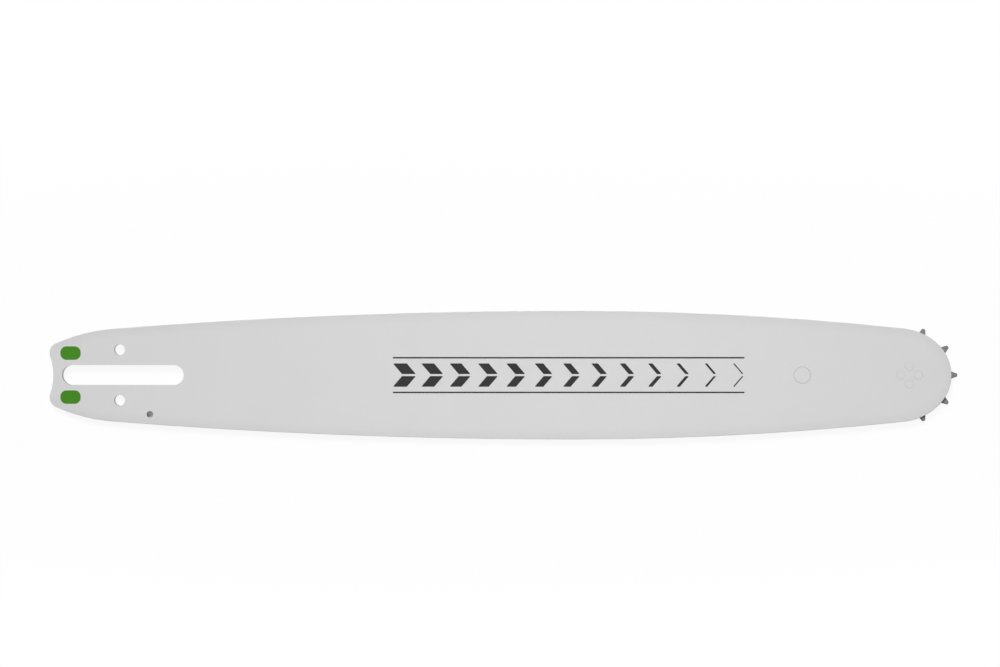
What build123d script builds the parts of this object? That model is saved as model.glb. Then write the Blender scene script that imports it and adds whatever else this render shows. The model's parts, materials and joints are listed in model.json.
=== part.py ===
from build123d import *
from math import asin, cos, floor, pi, radians, sin, sqrt
import os

# Chainsaw guide bar: three laminated steel plates with a sprocket nose.
# The origin is the centre of the stud slot on the back face. +X runs to the nose, +Z out of the front face.

# Lamination
side_plate_thickness = 1.6
core_thickness = 1.6
groove_depth = 8.0
edge_break = 0.2

# Stud slot and tail, in which the saw holds the bar
slot_length = 73.0
slot_width = 12.0
tail_bridge = 5.2
tail_notch_radius = 33.7
tail_lobe_radius = 6.25
tail_lobe_spacing = 26.6
tail_shoulder_radius = 102.0
tail_flare_angle = 24.4
adjuster_hole_diameter = 6.5
adjuster_hole_spacing = 30.4
adjuster_hole_setback = 2.0
oil_hole_diameter = 3.9
oil_hole_reach = 16.3
oil_hole_edge_distance = 6.0

# Rails, from the tail's shoulders over the crest to the nose
bar_width = 77.16
nose_reach = 472.0
crest_to_nose = 203.0
nose_side_radius = 34.2
nose_tip_radius = 25.25
nose_blend_angle = 43.0

# Windows that lighten the core plate
window_count = 3
window_border = 10.0
window_rib = 14.0
window_corner_radius = 5.0
window_slot_distance = 24.0
window_rivet_distance = 16.0
core_tail_inset = 1.0
core_corner_radius = 1.5

# Flush rivet behind the nose
body_rivet_diameter = 10.2
body_rivet_to_nose = 64.35
body_rivet_edge_break = 0.25

# Four flush rivets through the nose
nose_rivet_count = 4
nose_rivet_circle_radius = 5.3
nose_rivet_diameter = 5.2
nose_rivet_edge_break = 0.15

# Sprocket and its roller bearing
tooth_count = 10
sprocket_tip_radius = 29.0
sprocket_side_clearance = 0.05
sprocket_pocket_clearance = 1.0
tooth_tip_width = 1.65
tooth_flank_angle = 20.5
tooth_tip_rounding = 0.6
tooth_valley_radius = 2.5
tooth_edge_break = 0.25
race_wall = 1.1
roller_diameter = 3.7
roller_running_clearance = 0.03
roller_least_gap = 0.05

# Heights through the lamination
core_bottom = side_plate_thickness
core_top = core_bottom + core_thickness
bar_thickness = core_top + side_plate_thickness
mid_height = bar_thickness / 2
long_axis = Axis((0, 0, mid_height), (1, 0, 0))

# Sizes that follow from the ones above
body_rivet_radius = body_rivet_diameter / 2
body_rivet_x = nose_reach - body_rivet_to_nose
nose_rivet_radius = nose_rivet_diameter / 2
race_radius = nose_rivet_circle_radius + nose_rivet_radius + race_wall
roller_radius = roller_diameter / 2
roller_circle_radius = race_radius + roller_running_clearance + roller_radius
sprocket_bore_radius = roller_circle_radius + roller_radius + roller_running_clearance
roller_half_step = asin((roller_diameter + roller_least_gap) / (2 * roller_circle_radius))
roller_count = floor(pi / roller_half_step)
sprocket_thickness = core_thickness - 2 * sprocket_side_clearance
sprocket_bottom = core_bottom + sprocket_side_clearance


def direction(angle):
    """Unit vector at an angle from +X, in degrees."""
    return Vector(cos(radians(angle)), sin(radians(angle)))


def belly_radius(center, radius):
    """Radius of the rail arc that is level at the crest and touches a smaller arc from outside it."""
    run = crest.X - center.X
    rise = crest.Y - center.Y
    return (run**2 + rise**2 - radius**2) / (2 * (rise - radius))


def touching_point(outer_center, inner_center, radius):
    """Point where an arc of this radius about the inner centre touches the arc about the outer centre."""
    return inner_center + (inner_center - outer_center).normalized() * radius


def arc_about(center, start, end):
    """Arc from start to end around a centre, the short way round."""
    middle = ((start - center).normalized() + (end - center).normalized()).normalized()
    return ThreePointArc(start, center + middle * (start - center).length, end)


def inset_point(center, point, inset):
    """The point on an arc, moved towards the arc's centre."""
    return point + (center - point).normalized() * inset


def height_on_arc(center, radius, x):
    """Height of an arc above the bar's centreline at a distance along it."""
    return center.Y + sqrt(radius**2 - (x - center.X) ** 2)


# The rail's upper half is a chain of arcs that meet without a corner, from the tail notch to the nose
sprocket_center = Vector(nose_reach, 0)
crest = Vector(nose_reach - crest_to_nose, bar_width / 2)

notch_deepest = Vector(-slot_length / 2 - tail_bridge, 0)
notch_center = notch_deepest - Vector(tail_notch_radius, 0)
lobe_height = tail_lobe_spacing / 2
notch_to_lobe = tail_notch_radius + tail_lobe_radius
lobe_center = Vector(notch_center.X + sqrt(notch_to_lobe**2 - lobe_height**2), lobe_height)
lobe_start = notch_center + (lobe_center - notch_center).normalized() * tail_notch_radius

flare = direction(90 + tail_flare_angle)
shoulder_center = lobe_center - flare * (tail_shoulder_radius - tail_lobe_radius)
shoulder_start = lobe_center + flare * tail_lobe_radius
rear_radius = belly_radius(shoulder_center, tail_shoulder_radius)
rear_center = crest - Vector(0, rear_radius)
rear_start = touching_point(rear_center, shoulder_center, tail_shoulder_radius)

blend = direction(nose_blend_angle)
side_center = sprocket_center - blend * (nose_side_radius - nose_tip_radius)
front_radius = belly_radius(side_center, nose_side_radius)
front_center = crest - Vector(0, front_radius)
front_end = touching_point(front_center, side_center, nose_side_radius)
tip_start = sprocket_center + blend * nose_tip_radius
tip_end = sprocket_center + Vector(nose_tip_radius, 0)

with BuildSketch() as rail_outline:
    with BuildLine():
        arc_about(notch_center, notch_deepest, lobe_start)
        arc_about(lobe_center, lobe_start, shoulder_start)
        arc_about(shoulder_center, shoulder_start, rear_start)
        arc_about(rear_center, rear_start, crest)
        arc_about(front_center, crest, front_end)
        arc_about(side_center, front_end, tip_start)
        arc_about(sprocket_center, tip_start, tip_end)
        mirror(about=Plane.XZ)
    make_face()

# The core follows the rails at the groove's depth, and the tail notch a little way in
core_tail_radius = tail_notch_radius + core_tail_inset
core_shoulder_radius = tail_shoulder_radius - groove_depth
centers_apart = (shoulder_center - notch_center).length
tail_along = (core_tail_radius**2 - core_shoulder_radius**2 + centers_apart**2) / (2 * centers_apart)
tail_across = sqrt(core_tail_radius**2 - tail_along**2)
tail_line = (shoulder_center - notch_center).normalized()
core_tail_corner = notch_center + tail_line * tail_along + tail_line.rotate(Axis.Z, 90) * tail_across
core_tail_end = notch_center + Vector(core_tail_radius, 0)
core_rear_start = inset_point(shoulder_center, rear_start, groove_depth)
core_crest = crest - Vector(0, groove_depth)
core_front_end = inset_point(front_center, front_end, groove_depth)
pocket_radius = sprocket_tip_radius + sprocket_pocket_clearance

with BuildSketch() as core_outline:
    with BuildLine():
        arc_about(notch_center, core_tail_end, core_tail_corner)
        arc_about(shoulder_center, core_tail_corner, core_rear_start)
        arc_about(rear_center, core_rear_start, core_crest)
        arc_about(front_center, core_crest, core_front_end)
        Line(core_front_end, (core_front_end.X, 0))
        mirror(about=Plane.XZ)
    make_face()
    with Locations(sprocket_center):
        Circle(pocket_radius, mode=Mode.SUBTRACT)
    fillet(core_outline.vertices().group_by(Axis.X)[-1], radius=core_corner_radius)

# The windows share the length between the slot and the flush rivet, and leave a border along the groove
window_inset = groove_depth + window_border
windows_start = slot_length / 2 + window_slot_distance
windows_end = body_rivet_x - body_rivet_radius - window_rivet_distance
window_pitch = (windows_end - windows_start + window_rib) / window_count
window_length = window_pitch - window_rib
window_rear = Vector(windows_start, height_on_arc(rear_center, rear_radius - window_inset, windows_start))
window_front = Vector(windows_end, height_on_arc(front_center, front_radius - window_inset, windows_end))
window_crest = crest - Vector(0, window_inset)

with BuildSketch() as window_cells:
    with Locations(((windows_start + windows_end) / 2, 0)):
        with GridLocations(window_pitch, 0, window_count, 1):
            Rectangle(window_length, bar_width)

with BuildSketch() as core_windows:
    with BuildLine():
        Line((windows_start, 0), window_rear)
        arc_about(rear_center, window_rear, window_crest)
        arc_about(front_center, window_crest, window_front)
        Line(window_front, (windows_end, 0))
        mirror(about=Plane.XZ)
    make_face()
    add(window_cells.sketch, mode=Mode.INTERSECT)
    window_corners = core_windows.vertices().filter_by(
        lambda v: abs(v.Y) > window_corner_radius and abs(v.X - crest.X) > window_corner_radius
    )
    fillet(window_corners, radius=window_corner_radius)

# Holes for the saw's studs and its chain adjuster, which go through all three plates
with BuildSketch() as saw_holes:
    SlotOverall(slot_length, slot_width)
    with Locations((-adjuster_hole_setback, 0)):
        with GridLocations(0, adjuster_hole_spacing, 1, 2):
            Circle(adjuster_hole_diameter / 2)

# Back side plate, with its outer face at the origin's height
oil_hole_height = height_on_arc(rear_center, rear_radius, oil_hole_reach) - oil_hole_edge_distance

with BuildPart() as side_plate_back:
    with BuildSketch():
        add(rail_outline.sketch)
    extrude(amount=side_plate_thickness)
    chamfer(side_plate_back.faces().sort_by(Axis.Z)[0].edges(), length=edge_break)
    with BuildSketch():
        add(saw_holes.sketch)
        with Locations((oil_hole_reach, oil_hole_height)):
            Circle(oil_hole_diameter / 2)
        with Locations((body_rivet_x, 0)):
            Circle(body_rivet_radius)
        with Locations(sprocket_center):
            with PolarLocations(nose_rivet_circle_radius, nose_rivet_count):
                Circle(nose_rivet_radius)
    extrude(amount=side_plate_thickness, mode=Mode.SUBTRACT)

# Front side plate: the back plate turned half a turn about the bar's long axis
with BuildPart() as side_plate_front:
    add(side_plate_back.part.rotate(long_axis, 180))

# Core plate
with BuildPart() as core_plate:
    with BuildSketch(Plane.XY.offset(core_bottom)):
        add(core_outline.sketch)
        add(core_windows.sketch, mode=Mode.SUBTRACT)
        add(saw_holes.sketch, mode=Mode.SUBTRACT)
        with Locations((body_rivet_x, 0)):
            Circle(body_rivet_radius, mode=Mode.SUBTRACT)
    extrude(amount=core_thickness)

# Flush rivet through the three plates
with BuildPart() as body_rivet:
    with BuildSketch():
        with Locations((body_rivet_x, 0)):
            Circle(body_rivet_radius)
    extrude(amount=bar_thickness)
    chamfer(body_rivet.edges().filter_by(GeomType.CIRCLE), length=body_rivet_edge_break)

# Nose rivets through the side plates and the race
with BuildPart() as nose_rivets:
    with BuildSketch():
        with Locations(sprocket_center):
            with PolarLocations(nose_rivet_circle_radius, nose_rivet_count):
                Circle(nose_rivet_radius)
    extrude(amount=bar_thickness)
    chamfer(nose_rivets.edges().filter_by(GeomType.CIRCLE), length=nose_rivet_edge_break)

# Race that the side plates clamp, with a hole for each nose rivet
with BuildPart() as bearing_race:
    with BuildSketch(Plane.XY.offset(core_bottom)):
        with Locations(sprocket_center):
            Circle(race_radius)
            with PolarLocations(nose_rivet_circle_radius, nose_rivet_count):
                Circle(nose_rivet_radius, mode=Mode.SUBTRACT)
    extrude(amount=core_thickness)

# Sprocket: each gap is a rounded valley whose straight flanks open outwards and leave the teeth between them.
# It is blanked from sheet, so its edges are eased on the front face only.
half_tooth_step = 180 / tooth_count
gap_half_angle = tooth_flank_angle + half_tooth_step
flank_slope = radians(tooth_flank_angle)
flank_offset = tooth_tip_width / 2 * cos(flank_slope) + sprocket_tip_radius * sin(flank_slope)
valley_center_radius = (flank_offset + tooth_valley_radius) / sin(radians(gap_half_angle))
flank_touch = Vector(valley_center_radius, 0) + direction(90 + gap_half_angle) * tooth_valley_radius
flank_far = flank_touch + direction(gap_half_angle) * sprocket_tip_radius

with BuildSketch() as tooth_gap:
    with BuildLine():
        Polyline((valley_center_radius, 0), flank_touch, flank_far, (flank_far.X, 0))
        mirror(about=Plane.XZ)
    make_face()
    with Locations((valley_center_radius, 0)):
        Circle(tooth_valley_radius)

with BuildSketch() as sprocket_outline:
    Circle(sprocket_tip_radius)
    with PolarLocations(0, tooth_count, start_angle=half_tooth_step):
        add(tooth_gap.sketch, mode=Mode.SUBTRACT)
    tip_corners = sprocket_outline.vertices().sort_by(SortBy.DISTANCE)[-2 * tooth_count :]
    fillet(tip_corners, radius=tooth_tip_rounding)

with BuildPart() as nose_sprocket:
    with BuildSketch(Plane.XY.offset(sprocket_bottom)):
        with Locations(sprocket_center):
            add(sprocket_outline.sketch)
    extrude(amount=sprocket_thickness)
    chamfer(nose_sprocket.faces().sort_by(Axis.Z)[-1].edges(), length=tooth_edge_break)
    with BuildSketch(Plane.XY.offset(sprocket_bottom)):
        with Locations(sprocket_center):
            Circle(sprocket_bore_radius)
    extrude(amount=sprocket_thickness, mode=Mode.SUBTRACT)

named_parts = {
    "side_plate_front": side_plate_front,
    "side_plate_back": side_plate_back,
    "core_plate": core_plate,
    "body_rivet": body_rivet,
    "nose_rivets": nose_rivets,
    "bearing_race": bearing_race,
    "nose_sprocket": nose_sprocket,
}

# Rollers: a full ring between the race and the sprocket, one node each
roller_step = 360 / roller_count

for number in range(roller_count):
    with BuildPart() as roller:
        with BuildSketch(Plane.XY.offset(sprocket_bottom)):
            with Locations(sprocket_center + direction(number * roller_step) * roller_circle_radius):
                Circle(roller_radius)
        extrude(amount=sprocket_thickness)
    named_parts[f"roller_{number + 1:02d}"] = roller

os.makedirs("parts", exist_ok=True)
for node, piece in named_parts.items():
    piece.part.label = node
    export_step(piece.part, f"parts/{node}.step")
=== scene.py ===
"""Looks of a laminated chainsaw guide bar with a sprocket nose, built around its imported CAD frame.

Lengths are in metres. X runs from the tail to the nose, Y across the face and Z out of the face.
"""

import json
import logging
import math
from dataclasses import dataclass
from enum import Enum
from typing import TypeAlias

import bpy
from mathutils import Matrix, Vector


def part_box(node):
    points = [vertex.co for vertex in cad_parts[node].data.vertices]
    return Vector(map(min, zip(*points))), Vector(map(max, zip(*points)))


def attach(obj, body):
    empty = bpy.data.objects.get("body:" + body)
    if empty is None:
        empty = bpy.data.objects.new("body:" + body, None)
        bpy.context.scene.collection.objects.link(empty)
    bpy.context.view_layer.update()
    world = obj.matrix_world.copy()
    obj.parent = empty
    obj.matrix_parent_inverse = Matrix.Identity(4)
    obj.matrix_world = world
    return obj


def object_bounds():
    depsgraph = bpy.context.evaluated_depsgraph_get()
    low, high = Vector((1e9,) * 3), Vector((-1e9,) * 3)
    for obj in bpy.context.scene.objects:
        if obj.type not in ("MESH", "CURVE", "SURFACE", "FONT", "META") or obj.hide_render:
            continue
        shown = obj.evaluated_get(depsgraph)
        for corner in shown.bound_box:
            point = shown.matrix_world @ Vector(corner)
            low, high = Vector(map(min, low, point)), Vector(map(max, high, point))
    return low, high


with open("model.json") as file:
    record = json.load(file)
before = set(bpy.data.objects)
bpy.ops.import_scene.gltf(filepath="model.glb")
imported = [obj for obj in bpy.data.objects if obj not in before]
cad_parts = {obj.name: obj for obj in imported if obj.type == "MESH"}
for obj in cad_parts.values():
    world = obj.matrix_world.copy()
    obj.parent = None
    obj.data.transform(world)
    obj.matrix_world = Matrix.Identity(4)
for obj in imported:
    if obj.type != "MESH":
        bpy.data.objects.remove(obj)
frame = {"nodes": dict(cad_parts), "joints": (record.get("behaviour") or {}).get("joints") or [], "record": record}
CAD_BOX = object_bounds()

LOG = logging.getLogger("guide_bar")

Flat: TypeAlias = tuple[float, float]
Point: TypeAlias = tuple[float, float, float]
Colour: TypeAlias = tuple[float, float, float]
Operand: TypeAlias = "Signal | float"
SocketValue: TypeAlias = "Operand | Point | bpy.types.Material | list[Signal]"

MM = 0.001
EVEN: Point = (1.0, 1.0, 1.0)
WHITE: Colour = (1.0, 1.0, 1.0)
# The bar is the same above and below its middle line, so marks, arms and lines come in twos.
SIDES = 2
# Points of a film that lie closer together than this become one.
FUSED = 0.001 * MM
# Each finer layer of a noise has this share of the strength of the one before it.
NOISE_FALLOFF = 0.55
# A Mix node has sockets for several kinds of value, and these are the ones for colours.
MIX_FACTOR, MIX_FIRST, MIX_SECOND, MIX_RESULT = 0, 6, 7, 2


def grey(value: float) -> Colour:
    """A neutral colour of one brightness."""
    return (value, value, value)


def scaled(colour: Colour, share: float) -> Colour:
    """A colour made darker or lighter by a factor on each of its channels."""
    return tuple(channel * share for channel in colour)


class Body(Enum):
    """CAD bodies, which carry the nodes and the new pieces."""

    BAR = "bar"
    SPROCKET = "sprocket"
    ROLLER_RING = "roller_ring"

    def nodes(self) -> list[str]:
        """Names of the CAD nodes that the body carries."""
        return frame["record"]["behaviour"]["bodies"][self.value]

    def axis(self) -> Point:
        """Place of the joint that the body turns on, in metres."""
        return next(joint["pos_m"] for joint in frame["joints"] if joint["child"] == self.value)


class Axis(Enum):
    """Axes of the CAD frame."""

    X = "X"
    Y = "Y"
    Z = "Z"


class Operation(Enum):
    """Operations of a Math node."""

    ADD = "ADD"
    SUBTRACT = "SUBTRACT"
    MULTIPLY = "MULTIPLY"
    DIVIDE = "DIVIDE"
    REMAINDER = "MODULO"
    ROUND_DOWN = "FLOOR"
    WITHOUT_SIGN = "ABSOLUTE"
    ROOT = "SQRT"
    LARGER = "MAXIMUM"
    ABOVE = "GREATER_THAN"
    BELOW = "LESS_THAN"


class Signal:
    """A socket's value, with arithmetic that adds Math nodes to the tree it comes from."""

    def __init__(self, graph: "NodeGraph", socket: bpy.types.NodeSocket | None) -> None:
        """Wraps an output of a tree's node, or None for a node that ends its tree."""
        self.graph = graph
        self.socket = socket

    def math(self, operation: Operation, *operands: Operand) -> "Signal":
        """Result of one Math node that works on numbers or signals."""
        return self.graph.node("ShaderNodeMath", {"operation": operation.value}, dict(enumerate(operands)))

    def __add__(self, other: Operand) -> "Signal":
        """Sum of two values."""
        return self.math(Operation.ADD, self, other)

    def __radd__(self, other: Operand) -> "Signal":
        """Sum of a number and this value."""
        return self.math(Operation.ADD, other, self)

    def __sub__(self, other: Operand) -> "Signal":
        """Difference of two values."""
        return self.math(Operation.SUBTRACT, self, other)

    def __rsub__(self, other: Operand) -> "Signal":
        """Difference of a number and this value."""
        return self.math(Operation.SUBTRACT, other, self)

    def __mul__(self, other: Operand) -> "Signal":
        """Product of two values."""
        return self.math(Operation.MULTIPLY, self, other)

    def __rmul__(self, other: Operand) -> "Signal":
        """Product of a number and this value."""
        return self.math(Operation.MULTIPLY, other, self)

    def __truediv__(self, other: Operand) -> "Signal":
        """Quotient of two values."""
        return self.math(Operation.DIVIDE, self, other)

    def __rtruediv__(self, other: Operand) -> "Signal":
        """Quotient of a number and this value."""
        return self.math(Operation.DIVIDE, other, self)

    def __floordiv__(self, other: Operand) -> "Signal":
        """Quotient of two values, rounded down."""
        return self.math(Operation.ROUND_DOWN, self / other)

    def __rfloordiv__(self, other: Operand) -> "Signal":
        """Quotient of a number and this value, rounded down."""
        return self.math(Operation.ROUND_DOWN, other / self)

    def __mod__(self, other: Operand) -> "Signal":
        """Remainder of a division of two values."""
        return self.math(Operation.REMAINDER, self, other)

    def __rmod__(self, other: Operand) -> "Signal":
        """Remainder of a division of a number by this value."""
        return self.math(Operation.REMAINDER, other, self)

    def __gt__(self, other: Operand) -> "Signal":
        """1 where this value is the larger one, and 0 elsewhere."""
        return self.math(Operation.ABOVE, self, other)

    def __lt__(self, other: Operand) -> "Signal":
        """1 where this value is the smaller one, and 0 elsewhere."""
        return self.math(Operation.BELOW, self, other)

    def __neg__(self) -> "Signal":
        """The value with its sign turned."""
        return self.math(Operation.SUBTRACT, 0.0, self)

    def __abs__(self) -> "Signal":
        """The value without its sign."""
        return self.math(Operation.WITHOUT_SIGN, self)

    def root(self) -> "Signal":
        """Square root of the value."""
        return self.math(Operation.ROOT, self)

    def larger(self, other: Operand) -> "Signal":
        """The larger of two values."""
        return self.math(Operation.LARGER, self, other)

    def blend(self, low: Operand, high: Operand) -> "Signal":
        """Goes from one value, where this one is 0, to another, where it is 1."""
        return low + self * (high - low)

    def around(self, middle: float, change: float) -> "Signal":
        """Spreads a value between 0 and 1 over a change about a middle value."""
        return self.blend(middle - change / 2, middle + change / 2)

    def ramp(self, low: float, high: float) -> "Signal":
        """Eases the value from 0 at low to 1 at high.

        Args:
            low: Value that becomes 0.
            high: Value that becomes 1.

        Returns:
            The eased value.
        """
        return self.graph.node(
            "ShaderNodeMapRange",
            {"interpolation_type": "SMOOTHSTEP"},
            {"Value": self, "From Min": low, "From Max": high},
        )


class NodeGraph:
    """A node tree that is written as Python expressions."""

    def __init__(self, tree: bpy.types.NodeTree) -> None:
        """Wraps an empty tree, which gets the nodes."""
        self.tree = tree

    def feed(self, socket: bpy.types.NodeSocket, value: SocketValue) -> None:
        """Links a signal to an input, or sets a plain value on it.

        Args:
            socket: Input of a node.
            value: Signal, or a number, colour, vector or material.
        """
        if isinstance(value, Signal):
            self.tree.links.new(value.socket, socket)
            return
        if socket.type == "RGBA" and len(value) == 3:
            value = (*value, 1.0)
        socket.default_value = value

    def node(
        self,
        kind: str,
        settings: dict[str, str | bool] | None = None,
        inputs: dict[str | int, SocketValue] | None = None,
        output: str | int = 0,
    ) -> Signal:
        """Adds one node.

        Args:
            kind: Blender's name for the node's type.
            settings: Properties that are set before the sockets.
            inputs: Values or signals by the socket's name or number, in a list where it takes several.
            output: Name or number of the output that is wanted.

        Returns:
            The wanted output.
        """
        node = self.tree.nodes.new(kind)
        for key, value in (settings or {}).items():
            setattr(node, key, value)
        for key, value in (inputs or {}).items():
            for single in value if isinstance(value, list) else [value]:
                self.feed(node.inputs[key], single)
        return Signal(self, node.outputs[output] if node.outputs else None)

    def mixed(self, factor: Signal, first: Signal, second: Signal) -> Signal:
        """Mixes two shaders, the first at a factor of 0 and the second at 1."""
        return self.node("ShaderNodeMixShader", inputs={0: factor, 1: first, 2: second})


class MaterialGraph(NodeGraph):
    """Shader nodes of one material."""

    def __init__(self, name: str) -> None:
        """Makes an empty material.

        Args:
            name: The material's name.
        """
        self.material = bpy.data.materials.new(name)
        self.material.use_nodes = True
        self.material.node_tree.nodes.clear()
        super().__init__(self.material.node_tree)

    def place(self) -> Signal:
        """Place on the piece, in metres, in the CAD frame."""
        return self.node("ShaderNodeTexCoord", output="Object")

    def along(self, axis: Axis) -> Signal:
        """Place on the piece along one axis, in metres."""
        return self.node("ShaderNodeSeparateXYZ", inputs={"Vector": self.place()}, output=axis.value)

    def facing(self) -> Signal:
        """How squarely the surface faces along the thickness, from 0 on the edges to 1 on the faces."""
        normal = self.node("ShaderNodeTexCoord", output="Normal")
        return abs(self.node("ShaderNodeSeparateXYZ", inputs={"Vector": normal}, output=Axis.Z.value))

    def noise(self, scale: float, stretch: Point = EVEN, detail: float = 2.0) -> Signal:
        """Noise between 0 and 1 over the piece.

        Args:
            scale: Grains to a metre.
            stretch: Length of the grain along X, Y and Z, as a share of its plain size.
            detail: Number of finer layers.

        Returns:
            The noise's value.
        """
        scales = tuple(1.0 / share for share in stretch)
        vector = self.node("ShaderNodeMapping", inputs={"Vector": self.place(), "Scale": scales})
        return self.node(
            "ShaderNodeTexNoise",
            inputs={"Vector": vector, "Scale": scale, "Detail": detail, "Roughness": NOISE_FALLOFF},
            output="Fac",
        )

    def tint(self, factor: Signal, first: Colour | Signal, second: Colour | Signal) -> Signal:
        """Mixes two colours.

        Args:
            factor: 0 for the first colour and 1 for the second.
            first: First colour.
            second: Second colour.

        Returns:
            The mixed colour.
        """
        return self.node(
            "ShaderNodeMix",
            {"data_type": "RGBA", "clamp_factor": True},
            {MIX_FACTOR: factor, MIX_FIRST: first, MIX_SECOND: second},
            output=MIX_RESULT,
        )

    def mottle(self, factor: Signal, colour: Colour, change: float) -> Signal:
        """A colour that a factor from 0 to 1 turns from darker to lighter, by a share of its brightness."""
        return self.tint(factor, scaled(colour, 1 - change / 2), scaled(colour, 1 + change / 2))

    def relief(self, height: Signal, depth: float) -> Signal:
        """Normal of a surface whose height varies from 0 to 1, where 1 stands for a depth in metres."""
        return self.node("ShaderNodeBump", inputs={"Distance": depth, "Height": height})

    def surface(self, **inputs: SocketValue) -> bpy.types.Material:
        """Ends the material in a Principled shader, whose sockets are named with underscores for spaces."""
        named = {key.replace("_", " "): value for key, value in inputs.items()}
        return self.close(self.node("ShaderNodeBsdfPrincipled", inputs=named))

    def close(self, shader: Signal) -> bpy.types.Material:
        """Sends a shader to the material's output and returns the material."""
        self.node("ShaderNodeOutputMaterial", inputs={"Surface": shader})
        return self.material


@dataclass(frozen=True)
class Arc:
    """One arc of the bar's edge, which holds from a place along the bar onwards."""

    start: float
    center: Flat
    radius: float

    def inset(self, along: Signal, across: Signal) -> Signal:
        """Distance inwards from the arc, in metres.

        Args:
            along: Place along the bar.
            across: Distance from the bar's middle line.

        Returns:
            The distance.
        """
        run = along - self.center[0]
        rise = across - self.center[1]
        return self.radius - (run * run + rise * rise).root()


@dataclass(frozen=True)
class EdgeArcs:
    """The four arcs that the bar's edge follows on each side, from its tail to its nose."""

    tail_center: Flat = (1.8 * MM, -73.9 * MM)
    tail_radius: float = 102.0 * MM
    rear_start: float = -6.2 * MM
    rear_radius: float = 3513.5 * MM
    front_radius: float = 1880.1 * MM
    crest_to_axis: float = 203.0 * MM
    nose_start_to_axis: float = 2.9 * MM
    nose_center_from_axis: Flat = (-6.55 * MM, -6.1 * MM)
    nose_radius: float = 34.2 * MM

    def arcs(self) -> tuple[Arc, ...]:
        """Places the arcs by the bar's width and the sprocket's axis.

        Returns:
            The arcs, from tail to nose.
        """
        axis = Body.SPROCKET.axis()[0]
        crest = axis - self.crest_to_axis
        half_width = CAD_BOX[1].y
        nose_center = (axis + self.nose_center_from_axis[0], self.nose_center_from_axis[1])
        return (
            Arc(CAD_BOX[0].x, self.tail_center, self.tail_radius),
            Arc(self.rear_start, (crest, half_width - self.rear_radius), self.rear_radius),
            Arc(crest, (crest, half_width - self.front_radius), self.front_radius),
            Arc(axis - self.nose_start_to_axis, nose_center, self.nose_radius),
        )

    def inset(self, graph: MaterialGraph) -> Signal:
        """Distance inwards from the bar's edge, in metres.

        Args:
            graph: The material that asks.

        Returns:
            The distance.
        """
        along = graph.along(Axis.X)
        across = abs(graph.along(Axis.Y))
        tail, *others = self.arcs()
        inset = tail.inset(along, across)
        for arc in others:
            inset = (along > arc.start).blend(inset, arc.inset(along, across))
        return inset


@dataclass(frozen=True)
class SatinCoat:
    """Pale satin coat on rolled steel, with painted shade that darkens it towards the bar's edge, worn off on the
    edges and in the groove.
    """

    colour: Colour = grey(0.705)
    colour_change: float = 0.08
    cloud_share: float = 0.4
    rolled_share: float = 0.2
    grain_share: float = 0.4
    metallic: float = 0.03
    gloss: float = 0.2
    roughness: float = 0.68
    roughness_change: float = 0.08
    edge_arcs: EdgeArcs = EdgeArcs()
    # Painted shade: within this depth of the bar's edge, the coat's colour falls to this share.
    edge_shade_depth: float = 7.0 * MM
    painted_edge_shade: float = 0.95
    edge_colour: Colour = grey(0.36)
    edge_change: float = 0.1
    edge_metallic: float = 0.6
    edge_roughness: float = 0.38
    edge_facing: float = 0.3
    face_facing: float = 1.0
    bare_height: float = 1.2 * MM
    coated_height: float = 2.0 * MM
    grain_to_metre: float = 2600.0
    rolled_to_metre: float = 1300.0
    rolling_length: float = 40.0
    cloud_to_metre: float = 22.0
    cloud_detail: float = 3.0
    relief_depth: float = 0.012 * MM
    relief_grain: float = 0.6
    relief_rolled: float = 0.4

    @classmethod
    def for_rivet(cls, seam_colour: Colour) -> "SatinCoat":
        """Coat of a flush rivet, whose eased rim shows as a round seam of a colour of its own."""
        return cls(edge_colour=seam_colour, edge_metallic=0.1, edge_facing=0.75, face_facing=0.95)

    def coated(self, graph: MaterialGraph) -> Signal:
        """1 on the outer faces, which keep the coat, and 0 on the edges and in the groove.

        Args:
            graph: The finish's material.

        Returns:
            The share of the coat that is left.
        """
        middle = (CAD_BOX[0].z + CAD_BOX[1].z) / 2
        from_middle = abs(graph.along(Axis.Z) - middle)
        on_face = graph.facing().ramp(self.edge_facing, self.face_facing)
        return on_face * from_middle.ramp(self.bare_height, self.coated_height)

    def material(self, name: str) -> bpy.types.Material:
        """Builds the finish.

        Args:
            name: The material's name.

        Returns:
            The material.
        """
        graph = MaterialGraph(name)
        rolled = graph.noise(self.rolled_to_metre, (self.rolling_length, 1.0, 1.0))
        grain = graph.noise(self.grain_to_metre)
        clouds = graph.noise(self.cloud_to_metre, detail=self.cloud_detail)
        coated = self.coated(graph)
        shade = clouds * self.cloud_share + rolled * self.rolled_share + grain * self.grain_share
        plain = graph.mottle(shade, self.colour, self.colour_change)
        edge_shaded = graph.mottle(shade, scaled(self.colour, self.painted_edge_shade), self.colour_change)
        # Painted shade: the coat turns darker towards the bar's edge.
        face = graph.tint(self.edge_arcs.inset(graph).ramp(0.0, self.edge_shade_depth), edge_shaded, plain)
        edge = graph.mottle(rolled, self.edge_colour, self.edge_change)
        face_roughness = rolled.around(self.roughness, self.roughness_change)
        height = grain * self.relief_grain + rolled * self.relief_rolled
        return graph.surface(
            Base_Color=graph.tint(coated, edge, face),
            Metallic=coated.blend(self.edge_metallic, self.metallic),
            Specular_IOR_Level=self.gloss,
            Roughness=coated.blend(self.edge_roughness, face_roughness),
            Normal=graph.relief(height, self.relief_depth),
        )


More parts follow.
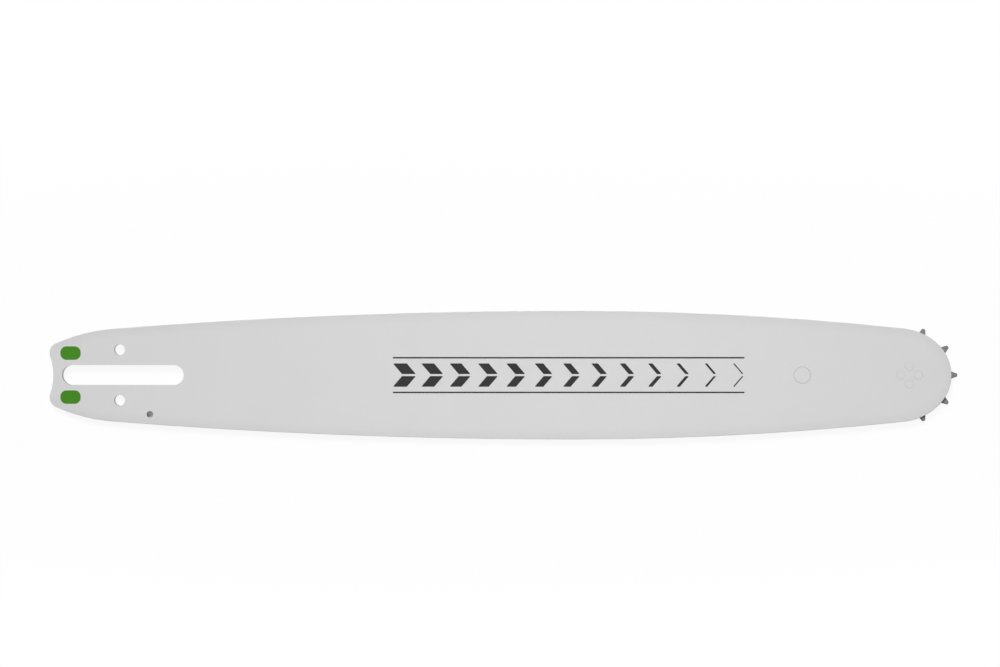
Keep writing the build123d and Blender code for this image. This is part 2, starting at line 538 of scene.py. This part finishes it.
@dataclass(frozen=True)
class BareSteel:
    """Uncoated steel with a drawn or tumbled grain, which may be darker on its edges."""

    colour: Colour
    roughness: float
    roughness_change: float = 0.15
    colour_change: float = 0.16
    cloud_share: float = 0.7
    grain_share: float = 0.3
    metallic: float = 0.9
    gloss: float = 0.5
    edge_share: float = 1.0
    edge_facing: float = 0.75
    face_facing: float = 0.95
    grain_to_metre: float = 1800.0
    grain_stretch: Point = EVEN
    grain_depth: float = 0.008 * MM
    cloud_grains: float = 20.0
    cloud_detail: float = 3.0

    def material(self, name: str) -> bpy.types.Material:
        """Builds the finish.

        Args:
            name: The material's name.

        Returns:
            The material.
        """
        graph = MaterialGraph(name)
        grain = graph.noise(self.grain_to_metre, self.grain_stretch)
        clouds = graph.noise(self.grain_to_metre / self.cloud_grains, detail=self.cloud_detail)
        shade = clouds * self.cloud_share + grain * self.grain_share
        face = graph.mottle(shade, self.colour, self.colour_change)
        edge = graph.mottle(shade, scaled(self.colour, self.edge_share), self.colour_change)
        on_face = graph.facing().ramp(self.edge_facing, self.face_facing)
        return graph.surface(
            Base_Color=graph.tint(on_face, edge, face),
            Metallic=self.metallic,
            Specular_IOR_Level=self.gloss,
            Roughness=grain.around(self.roughness, self.roughness_change),
            Normal=graph.relief(grain, self.grain_depth),
        )


@dataclass(frozen=True)
class FlatInk:
    """Screen-printed ink that lies in a thin film on the coat."""

    colour: Colour
    colour_change: float = 0.08
    roughness: float = 0.5
    roughness_change: float = 0.12
    gloss: float = 0.2
    grain_to_metre: float = 3200.0
    grain_depth: float = 0.004 * MM
    cloud_grains: float = 16.0

    def material(self, name: str) -> bpy.types.Material:
        """Builds the finish.

        Args:
            name: The material's name.

        Returns:
            The material.
        """
        graph = MaterialGraph(name)
        grain = graph.noise(self.grain_to_metre)
        clouds = graph.noise(self.grain_to_metre / self.cloud_grains)
        return graph.surface(
            Base_Color=graph.mottle(clouds, self.colour, self.colour_change),
            Specular_IOR_Level=self.gloss,
            Roughness=grain.around(self.roughness, self.roughness_change),
            Normal=graph.relief(grain, self.grain_depth),
        )


class GeometryGraph(NodeGraph):
    """Geometry nodes that make one piece, with named inputs for its sizes."""

    def __init__(self, name: str) -> None:
        """Makes an empty tree with one geometry output.

        Args:
            name: The piece's name.
        """
        super().__init__(bpy.data.node_groups.new(name, "GeometryNodeTree"))
        self.name = name
        self.values: dict[str, SocketValue] = {}
        self.tree.interface.new_socket("Geometry", in_out="OUTPUT", socket_type="NodeSocketGeometry")

    def size(self, name: str, value: SocketValue, kind: str = "NodeSocketFloat") -> Signal:
        """Adds a named input.

        Args:
            name: The input's name.
            value: What the piece's modifier sets it to.
            kind: Blender's name for the socket's type.

        Returns:
            The input, for use in the tree.
        """
        socket = self.tree.interface.new_socket(name, in_out="INPUT", socket_type=kind)
        self.values[socket.identifier] = value
        return self.node("NodeGroupInput", output=name)

    def vector(self, **parts: Operand) -> Signal:
        """A vector of the parts that are given by axis, with 0 for the others."""
        return self.node("ShaderNodeCombineXYZ", inputs=parts)

    def rectangle(self, width: Operand, height: Operand) -> Signal:
        """A closed rectangle in the XY plane, with its middle at the origin."""
        sides = {"Width": width, "Height": height}
        return self.node("GeometryNodeCurvePrimitiveQuadrilateral", inputs=sides)

    def row(self, first: Signal, step: Signal) -> Signal:
        """Points on both sides of the bar's middle line, from the first one on."""
        places = {"Count": SIDES, "Start Location": first, "Offset": step}
        return self.node("GeometryNodeMeshLine", inputs=places)

    def film(self, outlines: Signal, radius: Signal, thickness: Signal, corner_steps: int) -> Signal:
        """Fills closed curves and gives them a closed skin of a film's thickness.

        Args:
            outlines: Closed curves in the XY plane.
            radius: Rounding of their corners.
            thickness: Height of the film over the plane.
            corner_steps: Number of straight steps in each rounded corner.

        Returns:
            The film's mesh.
        """
        rounded = self.node(
            "GeometryNodeFilletCurve",
            {"mode": "POLY"},
            {"Curve": outlines, "Count": corner_steps, "Radius": radius, "Limit Radius": True},
        )
        sheet = self.node("GeometryNodeFillCurve", {"mode": "NGONS"}, {"Curve": rounded})
        upper = self.node(
            "GeometryNodeExtrudeMesh",
            {"mode": "FACES"},
            {"Mesh": sheet, "Offset Scale": thickness, "Individual": False},
        )
        lower = self.node("GeometryNodeFlipFaces", inputs={"Mesh": sheet})
        skin = self.node("GeometryNodeJoinGeometry", inputs={"Geometry": [upper, lower]})
        return self.node("GeometryNodeMergeByDistance", inputs={"Geometry": skin, "Distance": FUSED})

    def make(self, geometry: Signal, material: bpy.types.Material) -> bpy.types.Object:
        """Ends the tree, runs it and keeps its result as a plain mesh.

        Args:
            geometry: What the tree has made.
            material: Finish of the whole piece.

        Returns:
            The piece, in its place, with no modifier.
        """
        finish = self.size("Finish", material, "NodeSocketMaterial")
        real = self.node("GeometryNodeRealizeInstances", inputs={"Geometry": geometry})
        dressed = self.node("GeometryNodeSetMaterial", inputs={"Geometry": real, "Material": finish})
        self.node("NodeGroupOutput", inputs={"Geometry": dressed})
        piece = bpy.data.objects.new(self.name, bpy.data.meshes.new(self.name))
        bpy.context.scene.collection.objects.link(piece)
        modifier = piece.modifiers.new("Build", "NODES")
        modifier.node_group = self.tree
        for identifier, value in self.values.items():
            modifier[identifier] = value
        evaluated = piece.evaluated_get(bpy.context.evaluated_depsgraph_get())
        mesh = bpy.data.meshes.new_from_object(evaluated)
        piece.modifiers.clear()
        piece.data = mesh
        mesh.name = self.name
        return piece


def dress(node: str, material: bpy.types.Material) -> None:
    """Gives a CAD node its finish.

    Args:
        node: The CAD node's name.
        material: The finish.
    """
    mesh = frame["nodes"][node].data
    mesh.materials.clear()
    mesh.materials.append(material)
    LOG.info("%s is dressed in %s", node, material.name)


@dataclass
class LaminatedBlade:
    """Side plates, core plate and the flush rivet that joins them behind the nose."""

    coat: SatinCoat = SatinCoat()
    rivet: SatinCoat = SatinCoat.for_rivet(grey(0.38))
    core: BareSteel = BareSteel(grey(0.28), roughness=0.46, grain_stretch=(30.0, 1.0, 1.0), metallic=0.7)

    def build(self) -> None:
        """Dresses the blade's CAD nodes."""
        coat = self.coat.material("satin_coat")
        for node in ("side_plate_front", "side_plate_back"):
            dress(node, coat)
        dress("body_rivet", self.rivet.material("coated_body_rivet"))
        dress("core_plate", self.core.material("rolled_core_steel"))


@dataclass
class SprocketNose:
    """Toothed sprocket, its roller bearing and the rivets that hold the bearing's race."""

    rivet: SatinCoat = SatinCoat.for_rivet(grey(0.56))
    tooth: BareSteel = BareSteel(
        grey(0.235), roughness=0.4, grain_to_metre=2400.0, metallic=0.0, gloss=0.06, edge_share=0.5
    )
    bearing: BareSteel = BareSteel(grey(0.5), roughness=0.25)

    def build(self) -> None:
        """Dresses the nose's CAD nodes."""
        tooth = self.tooth.material("hardened_tooth_steel")
        for node in Body.SPROCKET.nodes():
            dress(node, tooth)
        dress("nose_rivets", self.rivet.material("coated_nose_rivet"))
        bearing = self.bearing.material("ground_bearing_steel")
        for node in ("bearing_race", *Body.ROLLER_RING.nodes()):
            dress(node, bearing)


@dataclass
class TailMarks:
    """Two green paint fields that lie above and below the stud slot."""

    length: float = 12.15 * MM
    width: float = 8.1 * MM
    corner_radius: float = 3.6 * MM
    corner_steps: int = 10
    spacing: float = 26.4 * MM
    from_tail: float = 12.6 * MM
    film: float = 0.01 * MM
    sunk: float = 0.01 * MM
    paint: FlatInk = FlatInk((0.05, 0.23, 0.007))

    def build(self) -> bpy.types.Object:
        """Builds both fields as one piece that rides on the bar.

        Returns:
            The piece.
        """
        low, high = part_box("side_plate_front")
        first = (low.x + self.from_tail, -self.spacing / 2, high.z - self.sunk)
        graph = GeometryGraph("tail_marks")
        outline = graph.rectangle(graph.size("Length", self.length), graph.size("Width", self.width))
        places = graph.row(
            graph.size("First Place", first, "NodeSocketVector"),
            graph.vector(Y=graph.size("Spacing", self.spacing)),
        )
        field = graph.film(
            outline,
            graph.size("Corner Radius", self.corner_radius),
            graph.size("Film", self.film + self.sunk),
            self.corner_steps,
        )
        fields = graph.node("GeometryNodeInstanceOnPoints", inputs={"Points": places, "Instance": field})
        piece = graph.make(fields, self.paint.material("green_mark_paint"))
        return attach(piece, Body.BAR.value)


@dataclass
class ChevronBand:
    """Plain printed band on the middle of the face: chevrons towards the nose between two fine lines."""

    start: float = 162.0 * MM
    length: float = 211.0 * MM
    count: int = 13
    widest_stroke: float = 8.4 * MM
    finest_stroke: float = 1.0 * MM
    arm_height: float = 6.4 * MM
    arm_gap: float = 1.2 * MM
    lean: float = 6.0 * MM
    line_height: float = 0.9 * MM
    line_offset: float = 10.4 * MM
    corner_radius: float = 0.3 * MM
    corner_steps: int = 4
    film: float = 0.01 * MM
    sunk: float = 0.01 * MM
    ink: FlatInk = FlatInk(grey(0.02), roughness=0.55)

    def build(self) -> bpy.types.Object:
        """Builds the band as one piece that rides on the bar.

        Returns:
            The piece.
        """
        graph = GeometryGraph("chevron_band")
        start = graph.size("Start", self.start)
        length = graph.size("Length", self.length)
        outlines = graph.node(
            "GeometryNodeJoinGeometry",
            inputs={"Geometry": [self.arms(graph, start, length), self.lines(graph, start, length)]},
        )
        film = graph.film(
            outlines,
            graph.size("Corner Radius", self.corner_radius),
            graph.size("Film", self.film + self.sunk),
            self.corner_steps,
        )
        level = graph.size("Level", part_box("side_plate_front")[1].z - self.sunk)
        lift = graph.vector(Z=level)
        lifted = graph.node("GeometryNodeSetPosition", inputs={"Geometry": film, "Offset": lift})
        piece = graph.make(lifted, self.ink.material("dark_print_ink"))
        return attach(piece, Body.BAR.value)

    def arms(self, graph: GeometryGraph, start: Signal, length: Signal) -> Signal:
        """Outlines of the chevrons' arms, two to a chevron, with strokes that thin towards the nose.

        Args:
            graph: Tree of the piece.
            start: Place of the band's end by the tail.
            length: Length of the band.

        Returns:
            The outlines, as closed curves.
        """
        count = graph.size("Chevrons", self.count, "NodeSocketInt")
        widest = graph.size("Widest Stroke", self.widest_stroke)
        finest = graph.size("Finest Stroke", self.finest_stroke)
        height = graph.size("Arm Height", self.arm_height)
        gap = graph.size("Arm Gap", self.arm_gap)
        lean = graph.size("Lean", self.lean)
        index = graph.node("GeometryNodeInputIndex")
        # -1 for the arm below the middle line and 1 for the one above it.
        side = index % SIDES * 2 - 1
        share = index // SIDES / (count - 1)
        stroke = share.blend(widest, finest)
        run = length - lean - (widest + finest) / 2
        place = graph.vector(X=start + widest / 2 + share * run, Y=side * (gap + height) / 2)
        line = graph.node("GeometryNodeMeshLine", inputs={"Count": count * SIDES})
        points = graph.node("GeometryNodeSetPosition", inputs={"Geometry": line, "Position": place})
        upright = graph.rectangle(1.0, height)
        widths = graph.vector(X=stroke, Y=1.0, Z=1.0)
        placed = graph.node(
            "GeometryNodeInstanceOnPoints",
            inputs={"Points": points, "Instance": upright, "Scale": widths},
        )
        outlines = graph.node("GeometryNodeRealizeInstances", inputs={"Geometry": placed})
        corner = graph.node("GeometryNodeInputPosition")
        away = abs(graph.node("ShaderNodeSeparateXYZ", inputs={"Vector": corner}, output=Axis.Y.value))
        slant = graph.vector(X=lean * (1 - away / (height + gap / 2)))
        return graph.node("GeometryNodeSetPosition", inputs={"Geometry": outlines, "Offset": slant})

    def lines(self, graph: GeometryGraph, start: Signal, length: Signal) -> Signal:
        """Outlines of the two fine lines.

        Args:
            graph: Tree of the piece.
            start: Place of the band's end by the tail.
            length: Length of the band.

        Returns:
            The outlines, as closed curves.
        """
        offset = graph.size("Line Offset", self.line_offset)
        places = graph.row(graph.vector(X=start + length / 2, Y=-offset), graph.vector(Y=offset * 2))
        outline = graph.rectangle(length, graph.size("Line Height", self.line_height))
        placed = graph.node("GeometryNodeInstanceOnPoints", inputs={"Points": places, "Instance": outline})
        return graph.node("GeometryNodeRealizeInstances", inputs={"Geometry": placed})


@dataclass
class Lamp:
    """A square studio lamp that faces a point on the bar."""

    name: str
    place: Point
    target: Point
    size: float
    power: float
    spread: float = math.pi

    def build(self) -> None:
        """Adds the lamp."""
        data = bpy.data.lights.new(self.name, "AREA")
        data.shape = "SQUARE"
        data.size = self.size
        data.energy = self.power
        data.spread = self.spread
        lamp = bpy.data.objects.new(self.name, data)
        lamp.location = self.place
        aim = Vector(self.target) - Vector(self.place)
        lamp.rotation_euler = aim.to_track_quat("-Z", "Y").to_euler()
        bpy.context.scene.collection.objects.link(lamp)


@dataclass
class Studio:
    """Pale floor, white surroundings and soft lamps."""

    floor_side: float = 120.0
    floor_colour: Colour = grey(0.97)
    floor_white_share: float = 0.92
    shadow_center: Flat = (0.215, 0.0)
    shadow_ground: Flat = (0.34, 0.085)
    shadow_fade: float = 1.8
    ambient: float = 0.12
    backdrop: float = 1.0
    lamps: tuple[Lamp, ...] = (
        Lamp("key_lamp", place=(-1.9, 5.7, 6.8), target=(0.215, 0.0, 0.0), size=2.4, power=795.0),
        Lamp(
            "top_softbox",
            place=(0.3, 0.02, 1.75),
            target=(0.295, 0.0, 0.0),
            size=0.35,
            power=0.088,
            spread=math.radians(26),
        ),
    )

    @staticmethod
    def seen(graph: NodeGraph) -> Signal:
        """1 for rays that come from the camera, a mirror or glass, and 0 for rays that only light the bar.

        Args:
            graph: Tree that asks.

        Returns:
            The test's value.
        """
        kinds = ("Is Camera Ray", "Is Glossy Ray", "Is Transmission Ray")
        camera, glossy, clear = (graph.node("ShaderNodeLightPath", output=kind) for kind in kinds)
        return camera.larger(glossy).larger(clear)

    def far(self, graph: MaterialGraph) -> Signal:
        """0 on the ground that takes the bar's shadow, and 1 away from it.

        Args:
            graph: The floor's material.

        Returns:
            The share of the way out of the shadow's ground.
        """
        along = (graph.along(Axis.X) - self.shadow_center[0]) / self.shadow_ground[0]
        across = (graph.along(Axis.Y) - self.shadow_center[1]) / self.shadow_ground[1]
        return (along * along + across * across).ramp(1.0, self.shadow_fade**2)

    def build(self) -> None:
        """Adds the floor, the surroundings and the lamps."""
        self.build_floor()
        self.build_world()
        for lamp in self.lamps:
            lamp.build()

    def build_floor(self) -> None:
        """Lays the floor under the bar, pale and with the bar's shadow on it."""
        half = self.floor_side / 2
        level = CAD_BOX[0].z
        corners = [(-half, -half, level), (half, -half, level), (half, half, level), (-half, half, level)]
        mesh = bpy.data.meshes.new("floor")
        mesh.from_pydata(corners, [], [range(len(corners))])
        floor = bpy.data.objects.new("floor", mesh)
        bpy.context.scene.collection.objects.link(floor)
        graph = MaterialGraph("pale_floor")
        lit = graph.node("ShaderNodeBsdfDiffuse", inputs={"Color": self.floor_colour})
        white = graph.node("ShaderNodeEmission", inputs={"Color": WHITE, "Strength": self.backdrop})
        white_share = self.seen(graph) * self.far(graph).blend(self.floor_white_share, 1.0)
        mesh.materials.append(graph.close(graph.mixed(white_share, lit, white)))

    def build_world(self) -> None:
        """Surrounds the bar with white that lights it softly."""
        world = bpy.data.worlds.new("studio")
        world.use_nodes = True
        world.node_tree.nodes.clear()
        graph = NodeGraph(world.node_tree)
        soft = graph.node("ShaderNodeBackground", inputs={"Color": WHITE, "Strength": self.ambient})
        white = graph.node("ShaderNodeBackground", inputs={"Color": WHITE, "Strength": self.backdrop})
        graph.node("ShaderNodeOutputWorld", inputs={"Surface": graph.mixed(self.seen(graph), soft, white)})
        bpy.context.scene.world = world


@dataclass
class PhotoCamera:
    """Camera that looks straight down on the bar's face, as the photograph does."""

    above: Point = (226.3 * MM, 24.95 * MM, 4.8 * MM)
    distance: float = 1.46
    lens: float = 87.6
    farthest: float = 20.0

    def build(self) -> None:
        """Adds the camera and makes it the scene's own."""
        data = bpy.data.cameras.new("photo_camera")
        data.lens = self.lens
        data.clip_end = self.farthest
        camera = bpy.data.objects.new("photo_camera", data)
        camera.location = Vector(self.above) + Vector((0.0, 0.0, self.distance))
        bpy.context.scene.collection.objects.link(camera)
        bpy.context.scene.camera = camera


def main() -> None:
    """Builds the bar's looks, its studio and its camera."""
    logging.basicConfig(level=logging.INFO, format="%(name)s: %(message)s")
    LaminatedBlade().build()
    SprocketNose().build()
    for piece in (TailMarks().build(), ChevronBand().build()):
        LOG.info("%s has %d faces", piece.name, len(piece.data.polygons))
    Studio().build()
    PhotoCamera().build()
    bpy.context.scene.view_settings.view_transform = "Standard"


if __name__ == "__main__":
    main()
